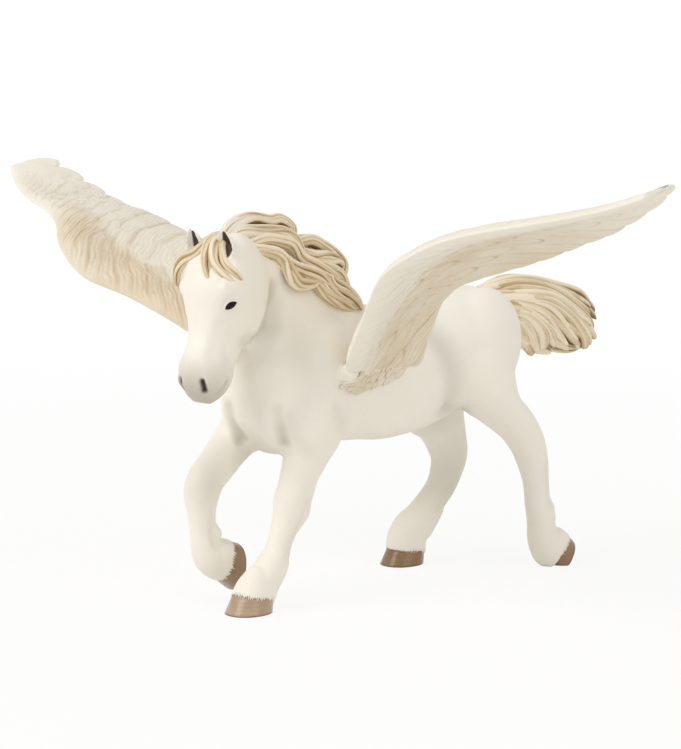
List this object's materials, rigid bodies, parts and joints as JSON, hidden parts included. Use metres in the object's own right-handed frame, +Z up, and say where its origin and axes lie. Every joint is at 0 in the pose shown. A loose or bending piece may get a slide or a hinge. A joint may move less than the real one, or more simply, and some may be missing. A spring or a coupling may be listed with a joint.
{
  "type": "winged horse figurine",
  "caption": "Free-standing winged horse figurine in mid trot, moulded in one piece, with spread feathered wings, wavy mane and flowing tail.",
  "frame": {"origin": "on the ground, under the middle of the figure's box", "axes": "+Z up, the horse faces -Y, +X is its left side and the way its wings spread"},
  "size_m": [0.2634, 0.1647, 0.1196],
  "materials": {
    "painted_vinyl": "solid soft vinyl, hand-painted warm white with grey airbrushing, satin to matt; cream wings, tan mane and tail, brown hooves, black eyes"
  },
  "bodies": {
    "root": {"pegasus_figure": "painted_vinyl"}
  },
  "joints": []
}
